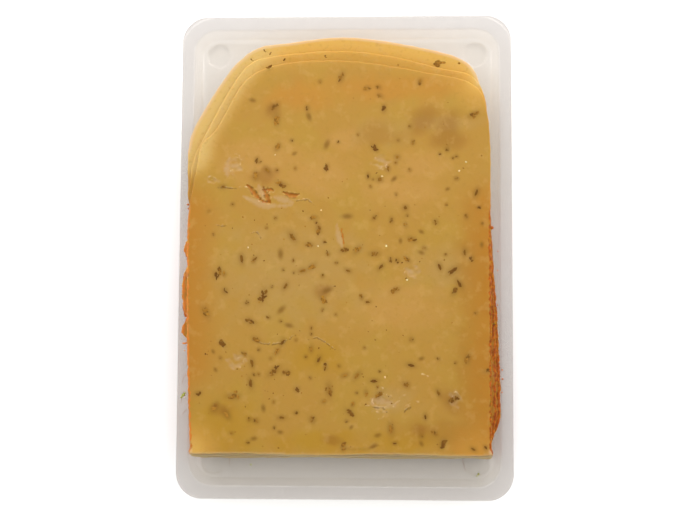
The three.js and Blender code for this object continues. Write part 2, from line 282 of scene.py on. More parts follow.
milky = add(tree, "ShaderNodeBsdfPrincipled", {
    "Base Color": linear("#e6e2de"), "Roughness": 0.3, "IOR": 1.57, "Normal": wavy})
shine = add(tree, "ShaderNodeBsdfGlossy", {"Color": linear("#ffffff"), "Roughness": haze, "Normal": wavy})
body = add(tree, "ShaderNodeMixShader", {0: MILKY_SHARE, 1: through.outputs[0], 2: milky.outputs[0]})
grazing = add(tree, "ShaderNodeLayerWeight", {"Normal": wavy}).outputs["Facing"]
steep = add(tree, "ShaderNodeMath", {0: grazing, 1: 5.0}, operation="POWER").outputs[0]
mirror = add(tree, "ShaderNodeMapRange", {
    "Value": steep, "To Min": MIRROR_SHARES[0], "To Max": MIRROR_SHARES[1]}).outputs["Result"]
seen = add(tree, "ShaderNodeMixShader", {0: mirror, 1: body.outputs[0], 2: shine.outputs[0]})
# A sheet this clear throws hardly any shadow, as what it scatters goes on downwards
shade = add(tree, "ShaderNodeBsdfTransparent", {"Color": linear("#f9f8f6")})
path = add(tree, "ShaderNodeLightPath")
passing = add(tree, "ShaderNodeMath", {0: path.outputs["Is Shadow Ray"], 1: path.outputs["Is Diffuse Ray"]},
              operation="MAXIMUM").outputs[0]
sheet = add(tree, "ShaderNodeMixShader", {0: passing, 1: seen.outputs[0], 2: shade.outputs[0]})
add(tree, "ShaderNodeOutputMaterial", {"Surface": sheet.outputs[0]})

points, faces = tray_sheet()
tray = mesh_object("tray_shell", points, faces, clear_pet)
tray.data.set_sharp_from_angle(angle=math.radians(CREASE_ANGLE))
# Mask of the flange's painted shade: 0 below the height, 1 a millimetre above it
tray.data.attributes.new("flange_painted_shade", "FLOAT", "POINT").data.foreach_set(
    "value", [min(max(z - FLANGE_SHADE_HEIGHT, 0), 1) for _, _, z in points])
thick = tray.modifiers.new("sheet", "SOLIDIFY")
thick.thickness = SHEET * MM
thick.offset = 0.0
thick.use_even_offset = True
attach(tray, "root")
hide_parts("tray")

# Slices
# Semi-hard cheese with herbs, cut 1.9 mm thick across a block that has a coloured rind on two sides. The
# knife leaves a waxy face, rounded cut edges and a torn, crumbly rind. The top slice has eyes and a tear.
SLICES = 6
SLICE_THICKNESS = 1.9
# Height of the lower bevel of the part's slices
BEVEL = 0.35
# The Y near which the rind ends, and the lowest slice that the fan shows
RIND_END = 20.0
FAN_BASE = 4
# Place, half sizes and turn of each eye in the top face, in millimetres from the pack's middle and degrees
EYES = [
    (-42.9, 33.8, 3.6, 3.1, 20), (-51.3, 28.2, 2.7, 1.3, 165), (14.0, 35.1, 3.3, 2.5, 10),
    (14.9, -57.6, 4.8, 3.0, 5), (42.1, -55.3, 2.4, 3.3, 0), (-41.1, -42.0, 3.6, 2.8, 30),
    (26.0, -7.5, 3.0, 2.3, 15),
]
# Orange pits of the tear left of the middle, and a crack in the middle: points, half width and depth
PITS = [
    ([(-37.6, 26.2), (-35.6, 24.2), (-34.2, 22.0), (-32.6, 20.9)], 0.95, 0.5),
    ([(-31.3, 25.2), (-30.2, 22.6), (-29.6, 20.4), (-28.5, 19.2)], 1.0, 0.6),
    ([(-31.0, 24.6), (-28.8, 24.4), (-27.4, 23.9)], 0.7, 0.3),
    ([(-23.6, 23.3), (-21.4, 22.3), (-19.4, 22.0), (-17.8, 22.6)], 1.0, 0.5),
    ([(-33.4, 20.7), (-31.0, 19.8), (-28.6, 19.2)], 0.5, 0.4),
    ([(-1.5, 10.0), (-0.7, 6.4), (0.1, 2.1)], 0.35, 0.1),
]
# Pinkish lips of torn cheese round those and beside two eyes, partly paler cheese and partly painted
# reflection: points and half width
LIPS = [
    ([(-39.0, 21.8), (-34.0, 19.4), (-30.0, 18.0), (-25.0, 18.2)], 1.3),
    ([(-25.0, 17.9), (-20.0, 18.6)], 0.8),
    ([(-33.2, 26.0), (-32.2, 23.6), (-31.4, 21.4)], 1.3),
    ([(-27.0, 21.5), (-24.0, 20.5), (-20.0, 19.5)], 1.3),
    ([(-3.0, 11.0), (-2.3, 6.0), (-1.0, 2.5)], 1.1),
    ([(10.7, -56.0), (14.6, -56.6), (19.5, -58.0)], 1.5),
    ([(-44.9, 36.6), (-45.6, 33.2), (-45.4, 29.8)], 1.3),
]
# Ridges and grooves that the knife has left, with their half width: painted highlights along the ridges and
# painted shade in the grooves
RIDGES = [
    ([(-41.5, 25.4), (-39.0, 25.7), (-37.1, 25.3)], 0.25),
    ([(-18.7, 20.2), (-16.5, 20.9), (-14.8, 21.0)], 0.25),
    ([(8.4, -58.2), (10.2, -58.4)], 0.3),
    ([(13.2, -52.0), (14.4, -51.7), (15.6, -51.9)], 0.3),
    ([(18.8, -58.6), (19.8, -57.2), (21.2, -56.4)], 0.35),
    ([(21.0, -55.6), (22.4, -54.4), (24.2, -53.8)], 0.25),
    ([(26.4, -56.5), (27.8, -56.6), (29.3, -57.2)], 0.3),
    ([(23.0, -58.4), (24.2, -57.8), (25.6, -57.6)], 0.3),
    ([(13.2, -63.2), (14.4, -63.0), (15.5, -62.4)], 0.3),
    ([(11.6, -60.4), (13.2, -60.6), (14.8, -60.3)], 0.3),
    ([(29.3, -46.2), (30.6, -46.5), (32.0, -47.1)], 0.3),
]
GROOVES = [
    ([(-49.0, 25.2), (-45.5, 25.1), (-41.9, 24.8)], 0.25),
    ([(-18.6, 19.9), (-14.0, 20.4), (-12.1, 18.5)], 0.25),
    ([(-34.7, -33.6), (-31.2, -35.1), (-27.0, -35.3), (-23.2, -34.7), (-18.6, -31.7)], 0.25),
    ([(-13.5, -33.4), (-10.2, -32.6), (-6.8, -34.7), (-3.3, -37.3)], 0.25),
    ([(-49.5, 10.5), (-47.5, 10.1), (-45.5, 10.5)], 0.22),
    ([(-36.3, 7.2), (-33.5, 7.9), (-32.3, 5.6)], 0.22),
    ([(-1.2, -74.3), (3.3, -75.1), (8.6, -75.0), (13.2, -73.5)], 0.8),
    ([(11.2, -58.9), (13.0, -59.2), (15.0, -59.1)], 0.35),
    ([(15.0, -59.2), (15.8, -59.9), (16.4, -60.9)], 0.3),
    ([(23.0, -60.5), (24.2, -59.6), (25.3, -58.9)], 0.45),
]
# Millimetres that each form stands up from the top face or goes down into it
SWELL = 0.04
UNEVEN = 0.015
EYE_DEPTH = 0.2
RIDGE_RISE = 0.06
GROOVE_DEPTH = 0.16
HERB_DIP = 0.05
FACE_LIMITS = (-1.0, 0.07)
# A groove with more than this half width is a soft dent, with this share of the depth
WIDE_GROOVE = 0.6
DENT_SHARE = 0.35
# Broad soft patches of colour in the top face: place and half sizes
PATCHES = {
    "peach": [(21.7, 24.1, 16, 7), (19.9, -21.3, 18, 9), (0.5, 43.7, 7, 5), (29, 33, 11, 6), (-32, 36, 16, 9),
              (-10, 30, 14, 8)],
    "grey": [(14, 47, 11, 6), (-22, -8, 30, 20), (38, -6, 13, 9), (19.6, -56, 9, 6), (38, 50, 14, 3)],
    "brown": [(39.4, 47.1, 7, 8), (31, 51, 7, 5), (-28, 55.5, 3, 4), (-4.6, -71.4, 4, 2),
              (29.4, -67.4, 3, 2.4), (40.3, -56.1, 4, 4), (-46.6, -60.3, 4.5, 2.6), (-31, 30, 5, 3.4),
              (-8, -15, 3, 3)],
    "amber": [(52, -8, 9, 24), (50, -48, 9, 24), (53, -70, 10, 8), (13, 46, 9, 5), (36, -68, 14, 5)],
    "yellow": [(-46, -66, 14, 11), (-10, -72, 20, 4), (22, -72, 14, 4), (-10, -40, 12, 7)],
    "orange": [(20, 64.5, 30, 6), (-16, 62, 16, 6), (46, -72, 8, 6)],
}


def slice_levels(number):
    """Height of a slice's underside and top, from its CAD node."""
    low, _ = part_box(f"slice_{number}")
    bottom = low.z / MM
    return bottom, bottom + SLICE_THICKNESS


def cad_outline(number):
    """The outline of a CAD slice just over its lower bevel, anticlockwise."""
    bottom, _ = slice_levels(number)
    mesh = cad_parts[f"slice_{number}"].data
    found = np.array([v.co for v in mesh.vertices]) / MM
    ring = found[np.abs(found[:, 2] - bottom - BEVEL) < 0.004, :2]
    ring = np.unique(ring.round(3), axis=0)
    return ring[np.argsort(np.arctan2(ring[:, 1], ring[:, 0]))]


def smooth_loop(points, spacing):
    """A closed Catmull-Rom curve through the points, at even spacing."""
    dense = []
    count = len(points)
    t = np.linspace(0, 1, 12, endpoint=False)[:, None]
    for i in range(count):
        a, b, c, d = (points[(i + k) % count] for k in (-1, 0, 1, 2))
        dense.append(0.5 * (2 * b + (c - a) * t + (2 * a - 5 * b + 4 * c - d) * t ** 2
                            + (3 * b - a - 3 * c + d) * t ** 3))
    dense = np.vstack(dense)
    closed = np.vstack([dense, dense[:1]])
    along = np.concatenate([[0], np.cumsum(np.linalg.norm(np.diff(closed, axis=0), axis=1))])
    places = np.linspace(0, along[-1], int(along[-1] / spacing), endpoint=False)
    return np.stack([np.interp(places, along, closed[:, k]) for k in (0, 1)], axis=1)


def outward(loop):
    """Unit normals of an anticlockwise loop."""
    along = np.roll(loop, -1, axis=0) - np.roll(loop, 1, axis=0)
    along /= np.linalg.norm(along, axis=1)[:, None]
    return np.stack([along[:, 1], -along[:, 0]], axis=1)


def distance_to(line, places, closed=False):
    """Distance from each place to a line of points, and how far along the line the nearest place is."""
    line = np.asarray(line, float)
    ends = np.vstack([line, line[:1]]) if closed else line
    best = np.full(len(places), 1e9)
    share = np.zeros(len(places))
    for i in range(len(ends) - 1):
        a, step = ends[i], ends[i + 1] - ends[i]
        t = np.clip(((places - a) @ step) / max(step @ step, 1e-9), 0, 1)
        away = np.linalg.norm(places - a - t[:, None] * step, axis=1)
        nearer = away < best
        best[nearer] = away[nearer]
        share[nearer] = (i + t[nearer]) / (len(ends) - 1)
    return best, share


def is_inside(loop, places):
    """Which places lie inside a closed loop."""
    inside = np.zeros(len(places), bool)
    for (ax, ay), (bx, by) in zip(loop, np.roll(loop, -1, axis=0)):
        crosses = (ay > places[:, 1]) != (by > places[:, 1])
        if ay != by:
            inside ^= crosses & (places[:, 0] < ax + (places[:, 1] - ay) * (bx - ax) / (by - ay))
    return inside


def ripple(places, wavelength, seed):
    """Smooth noise of about -1 to 1 with the given wavelength, from waves in random directions."""
    draw = np.random.default_rng(seed)
    total = np.zeros(len(places))
    for _ in range(9):
        angle, phase = draw.uniform(0, 2 * math.pi, 2)
        length = wavelength * draw.uniform(0.7, 1.5)
        total += np.sin(2 * math.pi * (places @ (math.cos(angle), math.sin(angle))) / length + phase)
    return total / 3.2


def smoothstep(low, high, value):
    """A soft step from 0 at the low value to 1 at the high one."""
    t = np.clip((value - low) / (high - low), 0, 1)
    return t * t * (3 - 2 * t)


# Herb places: the largest listed one by one, the rest by the same seeded draw as the part's own
LARGE_HERBS = [
    (-42, -55, 4.7, 3), (-49, -59, 3.5, 60), (-44.5, -62, 3.9, 125), (-35, -42.5, 3.5, 100),
    (-35.5, -50, 3.9, 100), (-26.5, -45.5, 4.7, 40), (-5.5, -52.5, 4.7, 95), (-23.5, -34.5, 3.1, 60),
    (-33.5, -33.5, 3.1, 150), (-30.5, -59.5, 3.5, 100), (-26, 41, 3.1, 60), (-34.5, 30, 3.1, 85),
    (-30, 32, 3.1, 130), (-24.5, 26.5, 3.5, 165), (-20, 6, 4.3, 125), (-39.5, -2.5, 3.9, 100),
    (-24.5, -0.5, 4.7, 92), (-16, -7, 3.1, 10), (-12.5, -5.5, 3.1, 35), (-6.5, -14.5, 5.4, 25),
    (-8, -18, 3.1, 125), (-22.5, -13, 3.1, 60), (-31, -16.5, 4.7, 70), (-53, -23, 4.3, 115),
    (-36, -26.5, 3.9, 165), (-24, -22, 4.7, 45), (-21, -28, 3.9, 165), (-1.5, 68.5, 3.9, 75),
    (11.5, 40.5, 3.1, 130), (49.5, 53.5, 3.9, 25), (19, 28.5, 3.1, 40), (50.5, 23, 3.5, 70),
    (26, 5, 3.1, 155), (5, 1, 3.5, 50), (11.5, -0.5, 3.5, 0), (14, -5.5, 3.1, 50),
    (36.5, -5.5, 3.1, 115), (41.5, -7, 4.7, 35), (44, -12, 3.9, 120), (42, -15, 3.1, 60),
    (19.5, -14.5, 3.1, 25), (46, 0, 3.1, 90), (1, 14, 4.7, 0), (47, -40.5, 3.5, 70),
    (5, -47, 3.5, 50), (11.5, -49, 3.1, 0), (13.5, -54, 3.1, 50), (36, -53.5, 3.1, 115),
    (2.5, -61, 3.5, 140), (18, -67, 4.3, 95), (25.5, -43, 3.1, 170), (37.5, -72.5, 3.5, 70),
]
# Smaller ones between them, which the part's solids leave out
EXTRA_HERBS = [
    (-38, -39, 2.3, 140), (-22, -46, 2.8, 0), (0.5, -47, 2.7, 15), (-47, 25.5, 2.7, 0),
    (-13.5, 3, 2.7, 0), (-34.5, -2.5, 2.7, 40), (-48, -7, 2.7, 90), (15, 56, 2.7, 90), (9, 29.5, 2.3, 90),
    (24, -2.5, 2.7, 140), (9, -19, 2.3, 0), (23.5, -50.5, 2.7, 140), (41.5, -56, 3.9, 35),
    (49, -74.5, 2.3, 150), (34.5, -68.5, 2.3, 135), (54.5, -45, 2.3, 20), (-23.5, -63, 2.7, 0),
    (-29.5, 72.5, 2.3, 50), (-27.5, 57, 3.6, 30), (-26.5, 51.5, 3.6, 90), (13.5, 61, 2.3, 150),
    (8.5, 64, 2.3, 20), (-34, 36, 2.3, 80), (-7, 33, 2.5, 75), (-12, 13.5, 2.5, 10), (-10, 9, 3.5, 95),
    (0, 1, 3, 15), (11.5, 13.5, 2.2, 50), (18, 12.5, 2.2, 95), (-3, -4, 1.3, 0), (1.5, -7, 2.3, 160),
    (-55.5, -54, 2.2, 10), (-42.5, -69, 1.3, 0), (-25.5, -38, 2.5, 60), (-12.5, -37, 2.5, 90),
    (-46.5, -35, 3, 130), (-9.5, -41, 3, 60), (-7, -43.5, 2.5, 90), (8.5, -53.5, 2, 95),
    (3.5, -58, 1.8, 60), (19.5, -72.5, 1.9, 0), (31, -62.5, 2.3, 100), (0, -74, 3, 90),
    (51.5, 17.5, 1.6, 0), (39, 18.5, 1, 0),
]
# Faint ones, which lie under a skin of cheese and show only as soft brown marks
FAINT_HERBS = [
    (-14, 53, 4, 110), (-7, 42, 4.5, 70), (-36, 59.5, 3, 165), (-34, -71, 3, 10), (-49, -45, 2, 120),
    (-50, -38, 2, 120), (13, -69.5, 3, 15), (29.5, -72.5, 2.5, 120), (29.5, -40.5, 2.5, 20),
    (11.5, -73.5, 3.5, 30), (29.5, 8, 2.5, 150), (52.5, 3, 2.5, 90), (29.5, 0, 3, 160), (21.5, 4.5, 2.3, 90),
    (39.5, 24.5, 2, 30), (-24, -68.5, 2.6, 170), (3, -66.5, 2, 50), (-19.5, 38.5, 2.3, 30),
]
# Larger ones that lie as deep as those
SUNKEN_HERBS = {(-6.5, -14.5), (-24, -22), (-24.5, -0.5), (1, 14), (19, 28.5), (-21, -28), (-30.5, -59.5)}
SUNKEN_HERBS |= {(x, y) for x, y, _, _ in FAINT_HERBS}
SMALL_HERBS = 92
HERB_SEED = 20261
# Millimetres between the small herbs and the slice's edge
HERB_MARGIN = 3.2
# A herb's width as a share of its length
HERB_SLENDERNESS = 0.36
# Where herbs are denser: place, spread and weight
HERB_PATCHES = [(-30, 0, 26, 1), (-32, -50, 24, 1), (30, 2, 22, 0.9), (18, 40, 26, 0.7), (12, -52, 24, 0.7)]


def lcg(seed):
    """The part's own seeded draw, so that the small herbs land where its solids have them."""
    state = seed
    while True:
        state = (state * 1664525 + 1013904223) % 4294967296
        yield state / 4294967296


def herb_places():
    """Place, length, width and turn of each herb on the top slice."""
    draw = lcg(HERB_SEED)
    herbs = [(x, y, length, length * HERB_SLENDERNESS, turn) for x, y, length, turn in LARGE_HERBS]
    edge = cad_outline(SLICES)
    margin = edge - HERB_MARGIN * outward(edge)
    while len(herbs) < len(LARGE_HERBS) + SMALL_HERBS:
        x = -58 + 114 * next(draw)
        y = -76 + 150 * next(draw)
        chance = next(draw)
        length = 0.9 + 1.9 * next(draw) * next(draw)
        width = length * (0.35 + 0.4 * next(draw))
        turn = 180 * next(draw)
        thickness = 0.12 + sum(weight * math.exp(-((x - px) ** 2 + (y - py) ** 2) / spread ** 2)
                               for px, py, spread, weight in HERB_PATCHES)
        clear = all(math.hypot(h[0] - x, h[1] - y) > 0.6 * (h[2] + length) for h in herbs)
        if chance < thickness and clear and is_inside(margin, np.array([[x, y]]))[0]:
            herbs.append((x, y, length, width, turn))
    return herbs


HERBS = herb_places() + [
    (x, y, length, length * HERB_SLENDERNESS, turn) for x, y, length, turn in EXTRA_HERBS + FAINT_HERBS]


def turned(u, v, turn):
    """Coordinates turned anticlockwise by an angle in degrees."""
    c, s = math.cos(math.radians(turn)), math.sin(math.radians(turn))
    return u * c - v * s, u * s + v * c


def oval_reach(places, x, y, turn, half_length, half_width):
    """How far each place is from the middle of a turned oval: 1 at its edge."""
    u, v = turned(places[:, 0] - x, places[:, 1] - y, -turn)
    return np.hypot(u / half_length, v / half_width)


def eye_ridges():
    """Short arcs of painted highlight round the eyes, broken and uneven."""
    draw = np.random.default_rng(31)
    arcs = []
    for x, y, half_length, half_width, turn in EYES:
        for _ in range(4 if half_width > 2 else 3):
            start, span = draw.uniform(0, 2 * math.pi), draw.uniform(0.5, 1.3)
            reach = draw.uniform(0.55, 1.1)
            angles = start + span * np.array([0, 0.5, 1.0])
            u, v = turned(reach * half_length * np.cos(angles), reach * half_width * np.sin(angles), turn)
            off_x, off_y = draw.normal(size=2) * 0.25 * half_width
            arcs.append((list(zip(x + off_x + u, y + off_y + v)), draw.uniform(0.18, 0.3)))
    return arcs


def near_line(line, places, margin):
    """Numbers of the places that lie in a line's box, widened by a margin."""
    low, high = np.min(line, axis=0) - margin, np.max(line, axis=0) + margin
    return np.flatnonzero(((places > low) & (places < high)).all(axis=1))


def stroke(line, half, places):
    """How far each place is across a tapered, uneven stroke: 0 on its line, 1 at its edge."""
    away, share = distance_to(line, places)
    taper = 0.35 + 0.65 * np.sin(math.pi * np.clip(share, 0.03, 0.97))
    return (away + 0.2 * ripple(places, 1.6, 90)) / (half * taper)


MARKS = ("painted_highlight", "pink_and_reflection", "stain", "pit", "painted_hollow_shade") + tuple(PATCHES)


def top_marks(places):
    """Height over the flat top face in millimetres, and how strongly each mark colours each place."""
    height = SWELL * ripple(places, 34, 11) + UNEVEN * ripple(places, 7, 12)
    marks = {name: np.zeros(len(places)) for name in MARKS}

    def lay(name, near, values):
        marks[name][near] = np.maximum(marks[name][near], values)

    for name, patches in PATCHES.items():
        for x, y, half_x, half_y in patches:
            reach = oval_reach(places, x, y, 0, half_x, half_y)
            reach += 0.2 * ripple(places, 9, int(x + 2 * y) + 200)
            lay(name, slice(None), smoothstep(1.75, 0.0, reach))
    for number, (x, y, half_length, half_width, turn) in enumerate(EYES):
        near = near_line([(x, y)], places, 2.2 * half_length)
        reach = oval_reach(places[near], x, y, turn, half_length, half_width)
        reach += 0.2 * ripple(places[near], 2.6, 40 + number)
        height[near] -= EYE_DEPTH * smoothstep(1.0, 0.35, reach)
        # Pinkish patch in each eye: partly paler cheese, partly painted reflection of the white room
        lay("pink_and_reflection", near, 0.8 * smoothstep(1.5, 0.5, reach) * (0.6 + 0.4 * ripple(places[near], 3, 80)))
    for line, half, depth in PITS:
        near = near_line(line, places, 4 * half)
        reach = stroke(line, half, places[near])
        height[near] -= depth * smoothstep(1.05, 0.4, reach)
        patchy = np.clip(0.6 + 0.5 * ripple(places[near], 1.8, 91), 0, 1)
        lay("pit", near, smoothstep(1.25, 0.5, reach) * (0.55 + 0.45 * patchy))
        # Painted shade in a ring at the pit's edge
        lay("painted_hollow_shade", near, 0.8 * patchy * np.exp(-((reach - 0.95) / 0.35) ** 2))
        # Painted highlight in a ring just outside the pit
        lay("painted_highlight", near, 0.4 * (1 - patchy) * np.exp(-((reach - 1.6) / 0.3) ** 2))
    for line, half in LIPS:
        near = near_line(line, places, 3 * half)
        soft = smoothstep(1.9, 0.0, stroke(line, half, places[near]))
        lay("pink_and_reflection", near, soft * (0.85 + 0.15 * ripple(places[near], 5, 93)))
    for line, half in RIDGES + eye_ridges():
        near = near_line(line, places, 4 * half)
        reach = stroke(line, half, places[near])
        height[near] += RIDGE_RISE * np.exp(-(reach / 0.9) ** 2)
        broken = np.clip(0.5 + 0.5 * ripple(places[near], 2, 94), 0, 1)
        # Painted highlight along each ridge
        lay("painted_highlight", near, 0.7 * broken * np.exp(-(reach / 1.2) ** 2))
    for line, half in GROOVES:
        share = DENT_SHARE if half > WIDE_GROOVE else 1.0
        near = near_line(line, places, 6 * half)
        reach = stroke(line, half, places[near])
        height[near] -= GROOVE_DEPTH * share * np.exp(-(reach / 0.9) ** 2)
        # Painted shade along the groove
        lay("painted_hollow_shade", near, 0.7 * share * np.exp(-(reach / 1.3) ** 2))
        # The cheese that the knife has pushed up beside the groove, with a painted highlight on it
        reach = stroke(np.array(line) + (0, 1.5 * half), 0.8 * half, places[near])
        height[near] += RIDGE_RISE * share * np.exp(-(reach / 0.9) ** 2)
        lay("painted_highlight", near, 0.4 * share * np.exp(-(reach / 1.1) ** 2))
    for x, y, length, width, turn in HERBS:
        near = near_line([(x, y)], places, length * 1.9)
        reach = oval_reach(places[near], x, y, turn, length * 0.5 + 0.2, width * 0.5 + 0.45)
        strength, spread = (0.95, 0.9) if (x, y) in SUNKEN_HERBS else (0.65, 1.5)
        lay("stain", near, strength * np.exp(-(reach / spread) ** 2))
        height[near] -= HERB_DIP * np.exp(-(reach / 1.2) ** 2)
    return np.clip(height, *FACE_LIMITS), marks


def has_fine_marks(places):
    """Which places lie in an eye, a pit, a ridge or a groove, where the face needs a finer mesh."""
    found = np.zeros(len(places), bool)
    for x, y, half_length, half_width, _ in EYES:
        found |= np.hypot(places[:, 0] - x, places[:, 1] - y) < 1.3 * max(half_length, half_width)
    for line, half, *_ in PITS + RIDGES + GROOVES:
        near = near_line(line, places, half + 1.0)
        found[near] |= distance_to(line, places[near])[0] < half + 0.7
    return found


def hex_grid(loop, spacing, seed):
    """Points of a loosened hexagonal grid inside a loop, clear of its edge."""
    draw = np.random.default_rng(seed)
    low, high = loop.min(axis=0), loop.max(axis=0)
    rows = np.arange(low[1], high[1], spacing * math.sqrt(3) / 2)
    places = np.array([(x + (i % 2) * spacing / 2, y) for i, y in enumerate(rows)
                       for x in np.arange(low[0], high[0], spacing)])
    places += draw.uniform(-0.12, 0.12, places.shape) * spacing
    places = places[is_inside(loop, places)]
    away, _ = distance_to(loop, places, closed=True)
    return places[away > 0.5 * spacing]


def face_places(loop, number):
    """Places for the inside of a face's mesh, closer together where the top slice has fine marks."""
    places = hex_grid(loop, TOP_STEPS[number], 600 + number)
    if number < SLICES:
        return places
    fine = hex_grid(loop, FINE_STEP, 620)
    return np.vstack([places[~has_fine_marks(places)], fine[has_fine_marks(fine)]])


# Side of a slice from underside to top face: inset and share of the thickness
SIDE_LINES = [(0.3, 0.0), (0.1, 0.05), (0.0, 0.16), (0.02, 0.38), (0.0, 0.6), (0.01, 0.82), (0.05, 0.93),
              (0.14, 0.985), (0.32, 1.0)]
# Spacing of the points along the edge, in each slice's face, and where the top face has fine marks
EDGE_STEP = 0.75
TOP_STEPS = {1: 6.0, 2: 6.0, 3: 6.0, 4: 1.6, 5: 1.6, 6: 0.7}
FINE_STEP = 0.32
# Millimetres of the rind's grains and lumps, how far its mean lies inside the cut line, and its limits
RIND_GRAIN = 0.16
RIND_LUMP = 0.2
RIND_LOSS = 0.12
RIND_LIMITS = (-0.5, 0.18)
# Millimetres that the knife sways along a cut edge, and that a line of the rind wanders up and down
KNIFE_SWAY = 0.06
RIND_WANDER = 0.06
# Waves of the lower slices' faces
FACE_WAVE = 0.05
# The Y from which a lower slice's near end is painted pale, as painted light, and where it is wholly so
NEAR_EDGE = (-75.5, -77.5)
# Places whose distances are measured at once, which keeps the memory small
AT_ONCE = 4000


def rind_share(loop, normals):
    """Where the loop runs along the rind: 1 on it, 0 off it."""
    side = smoothstep(0.7, 0.92, np.abs(normals[:, 0]))
    return side * smoothstep(RIND_END + 8, RIND_END - 14, loop[:, 1])


def distance_to_cloud(cloud, places):
    """Distance in millimetres from each place to the nearest of a cloud of points."""
    nearest = np.full(len(places), 1e9)
    for start in range(0, len(places), AT_ONCE):
        part = places[start:start + AT_ONCE]
        away = np.linalg.norm(part[:, None, :] - cloud[None, :, :], axis=2)
        nearest[start:start + AT_ONCE] = away.min(axis=1)
    return nearest


def edge_marks(number, places, loop, normals, rind):
    """How strongly rind, and painted light at the near end and fanned edges, colour each place. The side's
    lines come first.
    """
    x, y = places.T
    side = len(loop) * len(SIDE_LINES)
    on_rind = np.zeros(len(places))
    on_rind[:side] = np.tile(rind, len(SIDE_LINES))
    # Painted light: the lower lines of the sides that face the near end are painted pale
    facing = smoothstep(-0.6, -0.95, normals[:, 1])
    painted_front_light = np.zeros(len(places))
    painted_front_light[:side] = np.concatenate([facing * smoothstep(1.3, 0.6, share) for _, share in SIDE_LINES])
    if number < SLICES:
        painted_front_light = np.maximum(painted_front_light, smoothstep(*NEAR_EDGE, y))
    left = 1.0 * (x < 0)
    rind_reach = distance_to_cloud(loop[rind > 0.5], places) + 12 * smoothstep(-42, -60, y) * left
    # Painted glow: colour that stands in for the light coming in at the edges of the lowest slice that the
    # fan shows
    lit = smooth_loop(cad_outline(FAN_BASE), EDGE_STEP)
    lit_side = outward(lit)
    fanned = (lit_side[:, 1] > 0.25) | (lit_side[:, 0] < -0.4) & (lit[:, 1] > 40)
    reach = distance_to_cloud(lit[fanned], places)
    # Painted light: paler along the fan's left diagonal and its far right edge, where light comes into the
    # thin cheese, and in a strip at the near edge
    painted_edge_glow = np.maximum.reduce([
        smoothstep(15, 4, reach) * smoothstep(-15, -42, x) * smoothstep(18, 34, y),
        smoothstep(4, 1, reach) * smoothstep(40, 55, x),
        0.35 * smoothstep(1.8, 0.3, y - y.min())])
    return {"rind": on_rind, "rind_reach": rind_reach, "painted_front_light": painted_front_light, "painted_fan_light_reach": reach, "left": left,
            "painted_edge_glow": painted_edge_glow}


def build_slice(number, material):
    """A slice's mesh: its side in lines from the underside up, both faces, and its marks as attributes."""
    bottom, top = slice_levels(number)
    loop = smooth_loop(cad_outline(number), EDGE_STEP)
    normals = outward(loop)
    rind = rind_share(loop, normals)
    count = len(loop)
    draw = np.random.default_rng(500 + number)
    rows = []
    for level, (inset, share) in enumerate(SIDE_LINES):
        grains = RIND_GRAIN * draw.normal(size=count)
        lumps = RIND_LUMP * ripple(loop, 2.2, 300 + 10 * number + level)
        crumble = np.clip(grains + lumps - RIND_LOSS, *RIND_LIMITS)
        sway = KNIFE_SWAY * ripple(loop, 9, 400 + number) + KNIFE_SWAY * ripple(loop, 4, 410 + number)
        reach = -inset + rind * crumble + (1 - rind) * sway
        places = loop + normals * reach[:, None]
        lift = rind * RIND_WANDER * draw.normal(size=count) if 0 < share < 0.9 else np.zeros(count)
        rows.append((places, bottom + share * SLICE_THICKNESS + lift))
    points = [(x, y, z) for places, heights in rows for (x, y), z in zip(places, heights)]
    faces = ring_faces(len(rows), count)
    _, triangles = fill_outline(rows[0][0])
    faces += [face[::-1] for face in triangles]
    edge = rows[-1][0]
    face_points, triangles = fill_outline(edge, extra_points=face_places(edge, number))
    first = len(points) - count
    numbers = [first + i if i < count else len(points) + i - count for i in range(len(face_points))]
    inner = np.array(face_points[count:])
    height, marks = top_marks(inner)
    if number < SLICES:
        height = FACE_WAVE * ripple(inner, 20, 700 + number)
        marks = {name: 0 * values for name, values in marks.items()}
    from_edge, _ = distance_to(loop, inner, closed=True)
    height *= smoothstep(0.3, 1.6, from_edge)
    points += [(x, y, top + h) for (x, y), h in zip(inner, height)]
    faces += [tuple(numbers[i] for i in face) for face in triangles]
    made = mesh_object(f"cheese_slice_{number}", points, faces, material)
    side = np.zeros(len(points) - len(inner))
    marks = {name: np.concatenate([side, values]) for name, values in marks.items()}
    marks.update(edge_marks(number, np.array(points)[:, :2], loop, normals, rind))
    for name, values in marks.items():
        attribute = made.data.attributes.new(name, "FLOAT", "POINT")
        attribute.data.foreach_set("value", values.astype(np.float32))
    return made


# Millimetres across one cloudy patch, smear, fleck, rind grain and pore
CHEESE_PATTERNS = (17, 4, 1.6, 0.9, 0.5)
